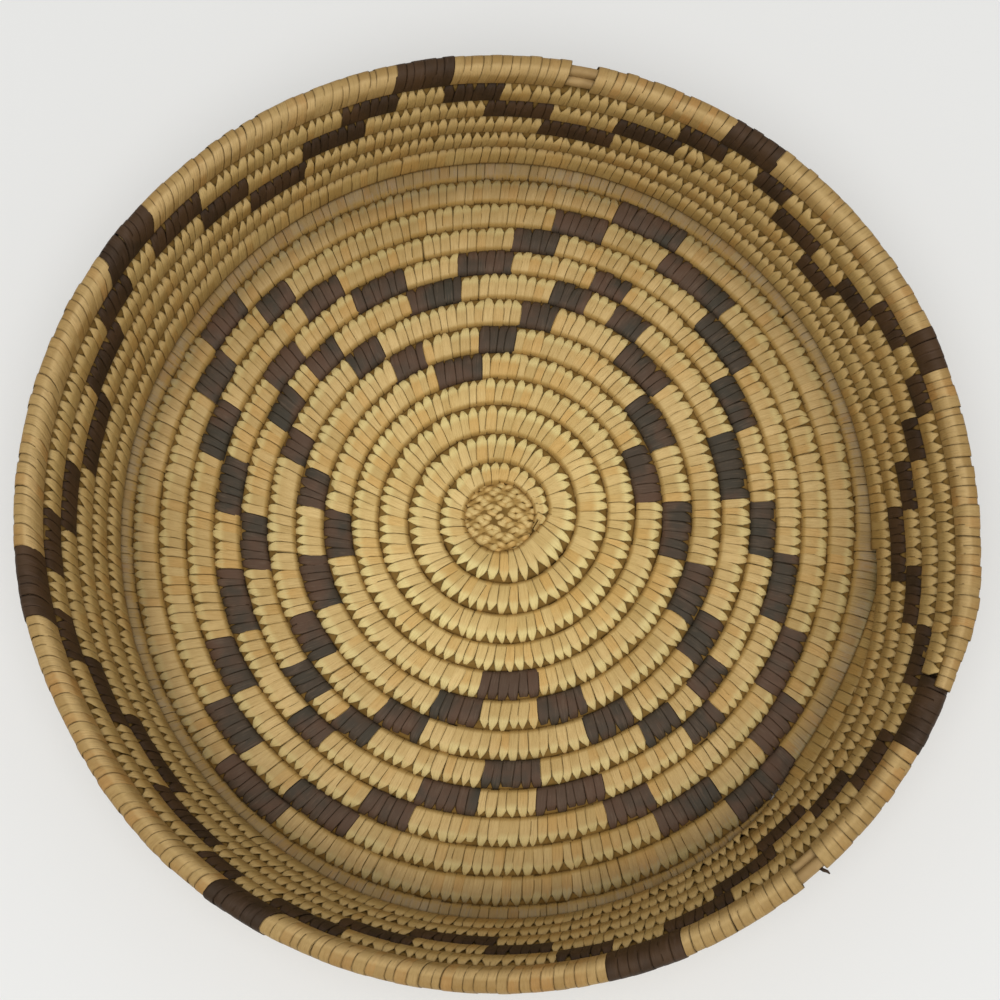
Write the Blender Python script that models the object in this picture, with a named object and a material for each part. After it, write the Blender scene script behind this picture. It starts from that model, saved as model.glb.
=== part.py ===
"""Coiled basket tray, in metres with +Z up and the bottom centre of its box at the origin.

A knot starts the work. One long coil runs counter-clockwise from it and makes the flat base.
A second coil starts beside the last base winding, climbs onto it and runs clockwise, one row
higher each turn, as the flaring wall. The last turn is the rim: three rods in a sewn cover of
light splints, with eight bands of dark splints, and two worn places where the rods show.
"""

import math

import bmesh
import bpy
from mathutils import Matrix, Vector
from mathutils.bvhtree import BVHTree

# The coil: a bundle of rods sewn over with splints, drawn with six flats
COIL_PITCH = 0.0070  # centre to centre of neighbouring windings
COIL_CLEARANCE = 0.00055  # left open between neighbouring windings
SPLINT_THICKNESS = 0.00065  # the sewn cover round the rods
ROD_CLEARANCE = 0.0004  # between the rods, and between the rods and their cover
CLIMB_CLEARANCE = 0.0003  # more room where the wall coil climbs past the base coil
END_CLEARANCE = 0.0004  # between bands of the rim's cover, and at the rods' ends
FOOT_CUT_SHARE = 0.1  # of the coil's width, cut flat where the base stands

# The knot and the base
KNOT_RADIUS = 0.0063  # at its step, where the base coil begins; it grows by a pitch in a turn
KNOT_CROWN = 0.0005  # how far the knot's middle stands above the coils
KNOT_CROWN_RUN = 0.0016  # the slope up to the crown, seen from above
KNOT_EDGE_ROUND = 0.0009
BASE_TURNS = 12.833  # at full thickness, before the end tapers away

BASE_END_SCALES = (0.7, 0.35)  # of the coil's thickness, one section apart

# The wall and the rim
WALL_ROWS = 5
WALL_LEAN = math.radians(79.2)  # from the floor, seen in section
WALL_START_TURNS = 0.167  # from where the base coil tapers to where the wall coil begins
WALL_START_SCALE = 0.4
CLIMB_POWER = 2.2  # the coil rises first and moves in over the base coil after that
CLIMB_TURNS = 0.12  # share of a turn in which the wall coil rises by one row
RIM_LAP_TURNS = 0.0625  # how far the rim's end laps over its beginning
RIM_END_SCALE = 0.75
RIM_TAPER_TURNS = 0.2

# The hand-made outline: where the rings lie, and how far they are from round
FOOT_SHIFT = Vector((-0.0013, -0.0018))  # centre of the wall's lowest row, from the knot
RIM_SHIFT = Vector((-0.0003, -0.0025))  # centre of the rim, from the knot
FOOT_INSET_TURNS = 0.38  # the lowest row stands this far in from the base coil's end
FOOT_OVAL = 0.00105
FOOT_OVAL_ANGLE = math.radians(105)
RIM_OVAL = 0.0010
RIM_OVAL_ANGLE = math.radians(-22)

# The rim's dark bands and worn places, in degrees clockwise from where the rim begins,
# as places of the middle, and widths
DARK_BANDS = ((4.2, 7.6), (49.9, 8.2), (98.8, 6.8), (146.5, 7.8), (192.2, 8.2), (237.2, 7.4),
              (283.3, 6.6), (318.7, 5.4))
WORN_PLACES = ((29.0, 5.0), (259.0, 4.0))

# Fineness of the facets
SECTIONS = 24  # points in a turn of the base and the wall
RIM_SECTIONS = 48

LIGHT = ((0.58, 0.42, 0.20, 1.0), 0.55)
DARK = ((0.035, 0.020, 0.014, 1.0), 0.45)
ROD = ((0.36, 0.17, 0.08, 1.0), 0.6)

COIL_FLATS = COIL_PITCH - COIL_CLEARANCE
COIL_APOTHEM = COIL_FLATS / 2
COIL_CORNER = COIL_APOTHEM / math.cos(math.pi / 6)
FOOT_CUT = FOOT_CUT_SHARE * 2 * COIL_CORNER
BASE_CENTRE_Z = COIL_CORNER - FOOT_CUT
BASE_TOP_Z = BASE_CENTRE_Z + COIL_CORNER
FIRST_ROW_Z = BASE_TOP_Z + COIL_CLEARANCE + COIL_APOTHEM / math.sin(WALL_LEAN)
BORE_APOTHEM = COIL_APOTHEM - SPLINT_THICKNESS
BORE_CORNER = BORE_APOTHEM / math.cos(math.pi / 6)
ROD_RADIUS = (BORE_APOTHEM - 1.5 * ROD_CLEARANCE) / 2
ROD_OFFSET = (2 * ROD_RADIUS + ROD_CLEARANCE) / math.sqrt(3)
WALL_START = round((BASE_TURNS + WALL_START_TURNS) * SECTIONS) / SECTIONS  # in base turns
RIM_START = WALL_ROWS + RIM_LAP_TURNS  # in wall turns, as are the next two
RIM_END = RIM_START + 1
RIM_TAPER_START = RIM_END - RIM_TAPER_TURNS


def clear_scene():
    for thing in list(bpy.data.objects):
        bpy.data.objects.remove(thing, do_unlink=True)


def new_collection(name):
    made = bpy.data.collections.new(name)
    bpy.context.scene.collection.children.link(made)
    return made


def paint(thing, finish):
    colour, roughness = finish
    material = bpy.data.materials.new(thing.name)
    material.use_nodes = True
    shader = material.node_tree.nodes["Principled BSDF"]
    shader.inputs["Base Color"].default_value = colour
    shader.inputs["Roughness"].default_value = roughness
    shader.inputs["Metallic"].default_value = 0.0
    thing.data.materials.clear()
    thing.data.materials.append(material)


def smooth_step(x):
    x = min(max(x, 0.0), 1.0)
    return x * x * (3 - 2 * x)


def direction(angle):
    return Vector((math.cos(angle), math.sin(angle), 0.0))


def base_inner_radius(turn):
    """Inner side of the base coil after so many turns from the knot."""
    return KNOT_RADIUS + COIL_CLEARANCE + COIL_PITCH * turn


def base_section(turn, scale):
    """A point of the base coil: it hugs the winding inside it and stands on the floor."""
    radius = base_inner_radius(turn) + COIL_APOTHEM * scale
    spot = direction(2 * math.pi * turn) * radius
    spot.z = BASE_CENTRE_Z * scale
    return spot, scale


def wall_level(turn):
    """Row of the wall coil after so many turns: it keeps to a row, then climbs to the next."""
    row = math.floor(turn)
    return row + smooth_step((turn - row) / CLIMB_TURNS)


def ring_point(angle, level):
    """A point of the wall at a row, where row 1 stands on the base coil."""
    up = (level - 1) / WALL_ROWS
    foot_radius = base_inner_radius(BASE_TURNS - FOOT_INSET_TURNS) + COIL_APOTHEM
    rise = (level - 1) * COIL_PITCH
    oval = (1 - up) * FOOT_OVAL * math.cos(2 * (angle - FOOT_OVAL_ANGLE))
    oval += up * RIM_OVAL * math.cos(2 * (angle - RIM_OVAL_ANGLE))
    radius = foot_radius + rise * math.cos(WALL_LEAN) + oval
    centre = FOOT_SHIFT.lerp(RIM_SHIFT, up)
    spot = direction(angle) * radius + Vector((centre.x, centre.y, 0.0))
    spot.z = FIRST_ROW_Z + rise * math.sin(WALL_LEAN)
    return spot


def wall_angle(turn):
    return 2 * math.pi * (WALL_START - turn)


def wall_point(turn, scale):
    """A point of the wall coil, clockwise from where it begins beside the base coil."""
    angle = wall_angle(turn)
    level = wall_level(turn)
    if level >= 1:
        spot = ring_point(angle, level)
        settle = (1 - scale) * COIL_APOTHEM
        inward = direction(angle) * math.cos(WALL_LEAN)
        inward.z = math.sin(WALL_LEAN)
        return spot - inward * settle
    radius = base_inner_radius(WALL_START - turn) + COIL_APOTHEM + CLIMB_CLEARANCE
    beside = direction(angle) * radius
    beside.z = BASE_CENTRE_Z
    above = ring_point(angle, 1.0)
    spot = beside.lerp(above, level ** CLIMB_POWER)
    spot.z = beside.z + (above.z - beside.z) * level
    return spot


def wall_turn_of_flats(turn):
    """The flats face the base coil at first, and the rows above and below from row 1 on."""
    return min(wall_level(turn), 1.0) * (WALL_LEAN - math.pi / 3)


def rim_scale(turn):
    return 1 - (1 - RIM_END_SCALE) * smooth_step((turn - RIM_TAPER_START) / RIM_TAPER_TURNS)


def base_profile(collection):
    """Section of the base coil: six flats, corners up and down, the lower corner cut off."""
    cut_half = FOOT_CUT * math.tan(math.pi / 3)
    corners = [(COIL_CORNER * math.sin(k * math.pi / 3), COIL_CORNER * math.cos(k * math.pi / 3))
               for k in (-2, -1, 0, 1, 2)]
    corners += [(cut_half, -BASE_CENTRE_Z), (-cut_half, -BASE_CENTRE_Z)]
    data = bpy.data.curves.new("base_coil_section", "CURVE")
    data.dimensions = "2D"
    line = data.splines.new("POLY")
    line.points.add(len(corners) - 1)
    for point, (x, y) in zip(line.points, corners):
        point.co = (x, y, 0.0, 1.0)
    line.use_cyclic_u = True
    guide = bpy.data.objects.new("base_coil_section", data)
    guide.hide_render = True
    guide.display_type = "WIRE"
    collection.objects.link(guide)
    return guide


def tube(name, collection, sections, corner, turn_of_flats=0.0, profile=None):
    """One unbroken tube through sections of (point, scale) or (point, scale, extra turn)."""
    data = bpy.data.curves.new(name, "CURVE")
    data.dimensions = "3D"
    data.twist_mode = "Z_UP"
    data.use_fill_caps = True
    if profile:
        data.bevel_mode = "OBJECT"
        data.bevel_object = profile
    else:
        data.bevel_depth = corner
        data.bevel_resolution = 1
    line = data.splines.new("POLY")
    line.points.add(len(sections) - 1)
    for point, section in zip(line.points, sections):
        point.co = (*section[0], 1.0)
        point.radius = section[1]
        point.tilt = turn_of_flats + (section[2] if len(section) > 2 else 0.0)
    made = bpy.data.objects.new(name, data)
    collection.objects.link(made)
    return made


def as_mesh(thing):
    """The same object as a mesh with its caps welded on."""
    bpy.context.view_layer.update()
    graph = bpy.context.evaluated_depsgraph_get()
    mesh = bpy.data.meshes.new_from_object(thing.evaluated_get(graph))
    work = bmesh.new()
    work.from_mesh(mesh)
    bmesh.ops.remove_doubles(work, verts=work.verts, dist=1e-7)
    bmesh.ops.recalc_face_normals(work, faces=work.faces)
    work.to_mesh(mesh)
    work.free()
    name = thing.name
    made = bpy.data.objects.new(name + "_mesh", mesh)
    for home in thing.users_collection:
        home.objects.link(made)
    made.matrix_world = thing.matrix_world
    bpy.data.objects.remove(thing, do_unlink=True)
    made.name = name
    return made


def start_knot(collection):
    """The knot, with a spiral edge: the base coil begins at its step and runs round it."""
    edge = []
    for k in range(SECTIONS + 1):
        turn = k / SECTIONS
        edge.append(direction(2 * math.pi * turn) * (KNOT_RADIUS + COIL_PITCH * turn))
    for corner in (edge[0], edge[-1]):
        corner.y -= END_CLEARANCE
    work = bmesh.new()
    floor = work.faces.new([work.verts.new(point) for point in edge])
    made = bmesh.ops.extrude_face_region(work, geom=[floor])["geom"]
    bmesh.ops.translate(work, verts=[v for v in made if isinstance(v, bmesh.types.BMVert)],
                        vec=(0.0, 0.0, BASE_TOP_Z))
    top = next(face for face in made if isinstance(face, bmesh.types.BMFace))
    bmesh.ops.bevel(work, geom=list(top.edges), offset=KNOT_EDGE_ROUND, segments=2, profile=0.5,
                    affect="EDGES", clamp_overlap=True)
    top = max(work.faces, key=lambda face: (round(face.calc_center_median().z, 6), face.calc_area()))
    bmesh.ops.inset_region(work, faces=[top], thickness=KNOT_CROWN_RUN, depth=KNOT_CROWN)
    bmesh.ops.recalc_face_normals(work, faces=work.faces)
    mesh = bpy.data.meshes.new("start_knot")
    work.to_mesh(mesh)
    work.free()
    knot = bpy.data.objects.new("start_knot", mesh)
    collection.objects.link(knot)
    paint(knot, LIGHT)
    return knot


def base_coil(collection, guides):
    full = round(BASE_TURNS * SECTIONS)
    sections = [base_section(k / SECTIONS, 1.0) for k in range(full + 1)]
    for k, scale in enumerate(BASE_END_SCALES, 1):
        sections.append(base_section((full + k) / SECTIONS, scale))
    coil = as_mesh(tube("base_coil", collection, sections, COIL_CORNER, 0.0, base_profile(guides)))
    paint(coil, LIGHT)
    return coil


def wall_coil(collection):
    last = RIM_START - END_CLEARANCE / (2 * math.pi * ring_point(0.0, WALL_ROWS).length)
    turns = [k / SECTIONS for k in range(math.ceil(last * SECTIONS - 1e-6))] + [last]
    sections = []
    for turn in turns:
        scale = min(1.0, WALL_START_SCALE + (1 - WALL_START_SCALE) * turn * SECTIONS / 2)
        sections.append((wall_point(turn, scale), scale, wall_turn_of_flats(turn)))
    coil = as_mesh(tube("wall_coil", collection, sections, COIL_CORNER, math.pi / 6))
    paint(coil, LIGHT)
    return coil


def rim_line():
    """The rim's sections, on the same straight runs for its rods and its cover."""
    count = RIM_SECTIONS
    return [RIM_START + k / count for k in range(count + 1)]


def rim_section(turn, across=0.0, along=0.0):
    """A rim point with its scale, moved across the wall and along its slope by a share of the coil."""
    line = rim_line()
    step = (turn - RIM_START) * RIM_SECTIONS
    first = min(max(math.floor(step + 1e-9), 0), RIM_SECTIONS - 1)
    ends = []
    for place in (line[first], line[first + 1]):
        scale = rim_scale(place)
        out = direction(wall_angle(place))
        slope = out * math.cos(WALL_LEAN) + Vector((0.0, 0.0, math.sin(WALL_LEAN)))
        square = out * math.sin(WALL_LEAN) - Vector((0.0, 0.0, math.cos(WALL_LEAN)))
        spot = wall_point(place, scale) + (square * across + slope * along) * scale
        ends.append((spot, scale))
    share = step - first
    spot = ends[0][0].lerp(ends[1][0], share)
    return spot, ends[0][1] + (ends[1][1] - ends[0][1]) * share


def rim_run(start, end, across=0.0, along=0.0):
    """Sections from start to end, in turns, with every corner of the rim line between them."""
    places = [start] + [p for p in rim_line() if start + 1e-6 < p < end - 1e-6] + [end]
    return [rim_section(place, across, along) for place in places]


def clear_of_corners(degrees):
    """The nearest place where a band can end, away from the corners of the rim line."""
    step = degrees * RIM_SECTIONS / 360
    corner = math.floor(step)
    return (corner + min(max(step - corner, 0.12), 0.88)) * 360 / RIM_SECTIONS


def rim_rods(collection):
    tilt = math.pi / 6 + WALL_LEAN - math.pi / 3
    trim = END_CLEARANCE / (2 * math.pi * ring_point(0.0, WALL_ROWS + 1).length)
    rods = []
    for k in range(3):
        angle = math.pi / 2 + k * 2 * math.pi / 3 + math.pi / 6
        run = rim_run(RIM_START + trim, RIM_END - trim, ROD_OFFSET * math.cos(angle),
                      ROD_OFFSET * math.sin(angle))
        rod = tube(f"rim_rod_{k + 1}", collection, run, ROD_RADIUS, tilt)
        paint(rod, ROD)
        rods.append(rod)
    return rods


def rim_bore(guides):
    """The hollow that the rods lie in, cut from every band of the cover."""
    tilt = math.pi / 6 + WALL_LEAN - math.pi / 3
    run = rim_run(RIM_START - 0.004, RIM_END + 0.004)
    bore = as_mesh(tube("rim_bore", guides, run, BORE_CORNER, tilt))
    bore.hide_render = True
    bore.display_type = "WIRE"
    return bore


def rim_cover(collection, guides):
    """Light bands between the dark ones, left open where the rim is worn."""
    bore = rim_bore(guides)
    tilt = math.pi / 6 + WALL_LEAN - math.pi / 3
    trim = END_CLEARANCE / 2 / (2 * math.pi * ring_point(0.0, WALL_ROWS + 1).length)
    taken = sorted([(*band, True) for band in DARK_BANDS] + [(*place, False) for place in WORN_PLACES])
    bands = []
    reached = 0.0
    for middle, width, is_dark in taken:
        first = clear_of_corners(middle - width / 2)
        last = clear_of_corners(middle + width / 2)
        if first - reached > 1.0:
            bands.append((reached, first, False))
        if is_dark:
            bands.append((max(first, reached), last, True))
        reached = last
    bands.append((reached, 360.0, False))
    numbers = {True: 0, False: 0}
    covers = []
    for first, last, is_dark in bands:
        numbers[is_dark] += 1
        name = ("rim_dark_band_" if is_dark else "rim_light_band_") + str(numbers[is_dark])
        run = rim_run(RIM_START + first / 360 + trim, RIM_START + last / 360 - trim)
        cover = as_mesh(tube(name, collection, run, COIL_CORNER, tilt))
        cut = cover.modifiers.new("Bore", "BOOLEAN")
        cut.operation = "DIFFERENCE"
        cut.object = bore
        paint(cover, DARK if is_dark else LIGHT)
        covers.append(cover)
    return covers


def evaluated(thing):
    graph = bpy.context.evaluated_depsgraph_get()
    found = thing.evaluated_get(graph)
    mesh = found.to_mesh()
    points = [thing.matrix_world @ v.co for v in mesh.vertices]
    faces = [tuple(p.vertices) for p in mesh.polygons]
    found.to_mesh_clear()
    return points, faces


def least_gap_to_itself(coil, sides):
    """From the corners of each winding to the faces of the winding inside or below it."""
    points, faces = evaluated(coil)
    count = len(points) // sides
    half = SECTIONS // 2
    least = math.inf
    for first in range(0, count - SECTIONS, half):
        low = first * sides
        high = (first + half + 1) * sides
        inner = [face for face in faces if low <= min(face) and max(face) < high]
        tree = BVHTree.FromPolygons(points, inner)
        start = (first + SECTIONS - half // 2) * sides
        for point in points[start:start + SECTIONS * sides]:
            least = min(least, tree.find_nearest(point)[3])
    return least


def least_gap_between(first, second):
    points, faces = evaluated(first)
    others, other_faces = evaluated(second)
    tree = BVHTree.FromPolygons(points, faces)
    back = BVHTree.FromPolygons(others, other_faces)
    near = min(tree.find_nearest(point)[3] for point in others)
    return min(near, min(back.find_nearest(point)[3] for point in points))


def stand_on_origin(parts):
    """Moves everything so that the origin is the bottom centre of the whole."""
    corners = [point for part in parts for point in evaluated(part)[0]]
    low = Vector(min(p[k] for p in corners) for k in range(3))
    high = Vector(max(p[k] for p in corners) for k in range(3))
    middle = Vector(((low.x + high.x) / 2, (low.y + high.y) / 2, low.z))
    for thing in bpy.data.objects:
        thing.matrix_world = Matrix.Translation(-middle) @ thing.matrix_world
    bpy.context.view_layer.update()
    size = high - low
    print("size, mm:", *(round(1000 * s, 1) for s in size))
    print("knot centre, mm:", *(round(-1000 * s, 3) for s in middle[:2]))


def main():
    clear_scene()
    parts_collection = new_collection("coiled_basket_tray")
    guides = new_collection("cutters_and_guides")
    guides.hide_render = True
    knot = start_knot(parts_collection)
    base = base_coil(parts_collection, guides)
    wall = wall_coil(parts_collection)
    rods = rim_rods(parts_collection)
    covers = rim_cover(parts_collection, guides)
    bpy.context.view_layer.update()
    stand_on_origin([knot, base, wall, *rods, *covers])
    print("least gap, base coil to itself, mm:", round(1000 * least_gap_to_itself(base, 7), 3))
    print("least gap, wall coil to itself, mm:", round(1000 * least_gap_to_itself(wall, 6), 3))
    print("least gap, wall coil to base coil, mm:", round(1000 * least_gap_between(base, wall), 3))
    for cover in covers:
        gap = least_gap_between(wall, cover)
        print("gap to the wall coil, mm:", cover.name, round(1000 * gap, 3))


main()
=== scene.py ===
"""Looks of the coiled basket tray: every stitch of splint over the coils, the knot and the rim.

Lengths are in millimetres until a mesh is made. A turn is one whole way round. The base coil
is counted outwards from the knot, counter-clockwise; the wall coil from where it leaves the
base, clockwise and upwards, and its last turn is the rim.
"""

import math

import bmesh
import bpy
import numpy as np
from mathutils import Euler, Matrix, Vector


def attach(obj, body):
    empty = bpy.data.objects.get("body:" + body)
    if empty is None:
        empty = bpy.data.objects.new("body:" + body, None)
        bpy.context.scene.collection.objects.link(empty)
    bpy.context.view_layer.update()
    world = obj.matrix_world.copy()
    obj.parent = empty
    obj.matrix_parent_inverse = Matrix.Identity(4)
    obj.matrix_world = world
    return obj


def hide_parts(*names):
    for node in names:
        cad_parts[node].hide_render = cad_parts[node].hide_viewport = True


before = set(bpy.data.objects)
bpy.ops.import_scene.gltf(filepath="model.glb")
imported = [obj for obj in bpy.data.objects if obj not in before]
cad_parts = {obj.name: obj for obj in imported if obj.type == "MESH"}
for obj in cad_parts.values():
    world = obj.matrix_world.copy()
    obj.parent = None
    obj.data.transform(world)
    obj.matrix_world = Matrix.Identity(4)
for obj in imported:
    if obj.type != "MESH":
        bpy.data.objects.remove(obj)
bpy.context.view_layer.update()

MM = 0.001
FULL_TURN = 2 * math.pi

# The photograph's view
IMAGE_SIZE = 1000
FOCAL_PIXELS = 1389
SENSOR_WIDTH = 36.0
CAMERA_PLACE = (9.316, -63.626, 348.589)
CAMERA_TURN = (11.4995, 1.4244, -0.0021)  # in degrees

# The knot
KNOT = (0.709, 2.5)  # the middle that the coils go round
KNOT_RADIUS = 9.0
KNOT_SOUTH = 0.57  # the knot lies this far in front of that middle
KNOT_HEART = (8.9, 8.9, 2.9)  # the bunch of ends inside it: half its width, depth and height
KNOT_HEART_Z = 3.25
KNOT_HEADINGS = (25.0, 155.0)  # the two ways in which its splints run, in degrees
KNOT_HEADING_SPREAD = 2.5
KNOT_STEP = 1.55
KNOT_STEP_SPREAD = 0.12
KNOT_SPLINT_HALF = 0.42  # half a splint's width as a share of the step
KNOT_SPLINTS_EACH_SIDE = 6
KNOT_SPLINT_SHORT = 0.1  # its splints end so far inside its edge
KNOT_DOME = 2.75
KNOT_DOME_EDGE = 0.4  # the dome would fall to nothing so far outside its edge
KNOT_SINK = 0.05  # its splints lie so far below the middle of the base
KNOT_WEAVE = 0.42  # how far a splint rises and sinks over and under the others
KNOT_CROWN = 0.3
KNOT_SPLINT_TOP = 0.15
KNOT_SPLINT_FOOT = -0.5

# The coils
PITCH = 7.0
COIL_RADIUS = PITCH / 2
BASE_Z = 3.35
GROOVE_INNER = 13.55  # radius of the groove outside the base coil's beginning
GROOVE_SHIFTS = ((0, -1.1), (0.5, -1.62), (1, -1.09), (1.5, -0.62), (2.5, -0.1), (3.5, -0.28),
                 (4.5, -0.34), (5.5, -0.01), (6.5, 0.31), (7.5, 0.16), (8.5, -0.41), (9.5, -0.65),
                 (10.5, -0.75), (11.5, -1.2), (12.5, -0.6))  # turn, groove's distance off an even spiral
GROOVE_EAST = ((1, 0.1), (4, -0.03), (7, 0.4), (10, -0.34))
GROOVE_NORTH = ((1, -0.14), (4, -0.06), (7, -0.08), (10, -0.5))
BASE_FIRST = -0.13  # the first winding begins as a point beside the knot
BASE_JOIN_TURNS = 0.15
BASE_END = 12.87
WALL_START = 13.0
WALL_ROWS = 5
CLIMB_TURNS = 0.115
CLIMB_LEAD = 0.025  # each climb begins so many turns before the turn is full
CLIMB_POWER = 2.2
MOUNT_TURN = 0.105  # from here the first row's stitches bite less and less into the row inside
MOUNT_TURNS = 0.045  # and more into the row that the coil has climbed onto
SECOND_ROW_TURN = 1.016  # from here they bite into the wall's first row at its even height
SETTLED_TURN = 1.15  # and from here into the coil as it lies one turn earlier
END_TURNS = 0.05  # both coils are thinned at their ends on the outside
END_THINNER = 0.45
FOOT_Z = 10.2
RIM_Z = 44.5
FOOT_RING = (97.95, -1.34, -1.77, -1.18, -0.44)  # radius: mean, then once and twice round
RIM_RING = (104.4, -0.7, -2.85, 0.47, -0.59)
RIM_START = 5.0695
RIM_END = 6.0715
RIM_THIN_TURNS = 0.22
RIM_THIN_SCALE = 0.86
RIM_POINT_TURNS = 0.03
RIM_POINT_SCALE = 0.6
RIM_SINK = 1.3  # how far the thinner end lies down on the row below
RIM_DENT = (210.0, 13.0, 0.8)  # the rim is pressed in: where, how wide in degrees, how far

# Stitches
STITCH_STEP = 2.4
WALL_STEP = 2.4
RIM_STEP = 2.3
FIRST_BASE_STITCH = 0.06  # in turns after the coil's beginning
FIRST_WALL_STITCH = 0.01
STITCH_OVERLAP = 1.19  # a stitch's width as a share of its place in the row
LOWEST = 0.06  # no stitch reaches lower than this above the table
SEEN_HEIGHT = 3.2  # how far above a coil's middle the camera sees its stitches
SEED_RANGE = 60  # keeps the streaks of one splint apart from those of the next
FINE_STEPS = 12000  # points along which a coil's length is measured
AHEAD = 0.0005  # in turns, to find which way a coil runs

# How stitches differ by chance, in millimetres where nothing else is said
SPACING_SPREAD = 0.06  # as a share of the step
SPACING_MOST = 2.2  # in spreads
WIDTH_SPREAD = 0.04  # as a share of the place in the row
TIP_SPREAD = 0.25  # as a share of how narrow the outer end is
TIP_LIMITS = (0.4, 1.25)
LEAN_SPREAD = 0.03  # as a slope
PLUMP_SPREAD = 0.07
SHOVE_SPREAD = 0.05
BITE_SPREAD = 0.12
TUG_SPREAD = 0.17
TUG_FROM = 2
BEND_SPREAD = 0.16  # as a slope
BEND_FROM = 1.3
BEND_LENGTH = 2.0

# One stitch: its loop seen from the side, as (away from the row it bites into, towards the
# inside of the tray, share of the width, how far it belongs to the row below, dirt and painted
# shade, darkest in the grooves and on the lower side, rubbed pale)
LOOP = (
    (-3.92, 1.20, 0.92, 1.0, 0.75, 0.0),
    (-3.48, 2.55, 1.00, 0.7, 0.85, 0.0),
    (-2.70, 3.08, 1.00, 0.4, 0.24, 0.0),
    (-0.60, 3.34, 1.00, 0.1, 0.0, 0.3),
    (1.10, 3.28, 0.94, 0.0, 0.0, 0.9),
    (2.05, 3.04, 0.70, 0.0, 0.0, 1.0),
    (2.80, 2.50, 0.44, 0.0, 0.05, 1.0),
    (3.30, 1.35, 0.22, 0.0, 0.35, 0.5),
    (3.50, -1.35, 0.22, 0.0, 0.45, 0.3),
    (3.00, -2.48, 0.44, 0.0, 0.45, 0.3),
    (2.15, -3.00, 0.70, 0.0, 0.45, 0.2),
    (1.10, -3.24, 0.94, 0.0, 0.45, 0.1),
    (-0.60, -3.30, 1.00, 0.1, 0.40, 0.0),
    (-2.70, -3.04, 1.00, 0.4, 0.30, 0.0),
    (-3.48, -2.51, 1.00, 0.7, 0.40, 0.0),
    (-3.92, -1.15, 0.92, 1.0, 0.75, 0.0),
)
CROWN = 0.08  # how far the edges of a splint lie below its middle
CROWN_FLAT = 0.68  # the flat middle of a splint as a share of its width
SINK = 0.02  # a splint lies this far inside its loop
TAPER_LENGTH = 3.0  # a stitch grows narrower and rounder over this length
BASE_THICKNESS = 0.98
WALL_THICKNESS = 0.87
RIM_THICKNESS = 0.75
DARK_RIM_THICKNESS = 0.81
RIM_INWARDS = 0.1
BASE_SLANT = (-0.12, 0.1)  # slant of the stitches, and how much it grows towards the right
WALL_SLANT = (-0.23, 0.13)
RIM_SLANT = (-0.30, 0.20)
WALL_BITE = -0.1
BASE_PINCH = 1.0  # how much the next row pinches the outer ends of the stitches
WALL_PINCH = 0.95
CLIMB_PINCH = 0.15  # where the wall coil begins
LAST_BASE_PINCH = 0.1  # and on the base coil's last turn
DARK_SEWING = {"crown": 0.02, "pinch": 0.6}
RIM_SEWING = {"crown": 0.09, "pinch": 0.0, "rounded": 0.3}
REACH_MORE = 0.8  # over the wall coil's beginning the stitches reach further down
REACH_STARTS = (0.97, 0.03)  # turn, and over how many turns
REACH_STOPS = (1.02, 0.09)

# Cores and rods: half their width and height, then places and steps in turns
BASE_CORE = (3.5, 2.75)
BASE_CORE_WIDEST = 1.2
BASE_CORE_STEP = 1 / 60
BASE_CORE_STOP = 0.01  # the even steps stop so long before the end
BASE_CORE_LAST = (0.008, 0.002)
LAST_BASE_CORE = 0.87  # how much narrower it is in its last turn
WALL_CORE = (2.1, 3.25)
WALL_CORE_FIRST = (0.0098, 0.018)
WALL_CORE_START = 0.025  # the even steps start here
WALL_CORE_STEP = 1 / 72
TUBE_SIDES = 12
TUBE_SQUARENESS = 0.75  # 1 is round, and less is squarer
ROD = (1.15, 1.3)
ROD_POINTS = 145
ROD_SHORT = 0.002
ROD_PLACES = ((1.55, 0.0), (-0.8, 1.15), (-0.8, -1.15))  # upwards, inwards from the rim's middle
STRAY_END = 312.6  # where a broken splint sticks out of the rim, as seen
STRAY_PATH = ((1.6, 0.4, -0.5), (2.3, 0.9, -0.3), (2.9, 1.2, 0.1), (3.6, 1.3, 0.2))  # out, up, along
STRAY_RADII = (0.4, 0.4, 0.34, 0.15)

# Dark blocks of the stepped pattern, row by row, from and to in degrees as the camera sees
# them round the middle of the base or of the rim
BASE_SEEN_FROM = (497.0, 510.0)
WALL_SEEN_FROM = (498.0, 517.0)
BASE_BLOCKS = {
    5: ((4, 23), (95.5, 115.7), (181, 196.5), (265.5, 282.2), (343.6, 360)),
    6: ((0, 3.4), (21.7, 38), (83.5, 97.4), (113.4, 127), (166.4, 180), (194.2, 208.5),
        (250.1, 266), (280.7, 295.5), (329.9, 344.1)),
    7: ((36.5, 50.6), (73.5, 84.1), (125.6, 135.6), (157.9, 166.8), (207, 219.4), (238.8, 250.7),
        (293.2, 303.5), (322.9, 332.7)),
    8: ((49.5, 59.8), (67.1, 75.5), (133.4, 142.6), (149.6, 159.3), (217.2, 226.3), (232.6, 240.3),
        (302.4, 311.4), (317.1, 324.7), (2.6, 19.4), (97.8, 113.3), (180.4, 193.4), (266, 279),
        (349.9, 360)),
    9: ((58.7, 68.4), (141, 151.7), (224.7, 233.8), (310, 318.7), (0, 2.9), (17.9, 30.8),
        (85.9, 98.6), (112.3, 125), (167.8, 181.2), (192.2, 206.4), (253.7, 266.7), (277.6, 290.3),
        (338, 350.8)),
    10: ((29.6, 42.8), (77.6, 86.9), (125, 134), (159, 168.3), (205.2, 215.4), (245, 254.7),
         (289.4, 299.2), (327, 338.7)),
    11: ((41.2, 56.7), (68.7, 79.1), (133.3, 140.7), (150, 159.2), (214.3, 224), (233.6, 245.1),
         (297.4, 309), (318.4, 327.7)),
    12: ((55.8, 68.8), (139.8, 150.4), (222, 234.8), (307.9, 319.4)),
}
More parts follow.
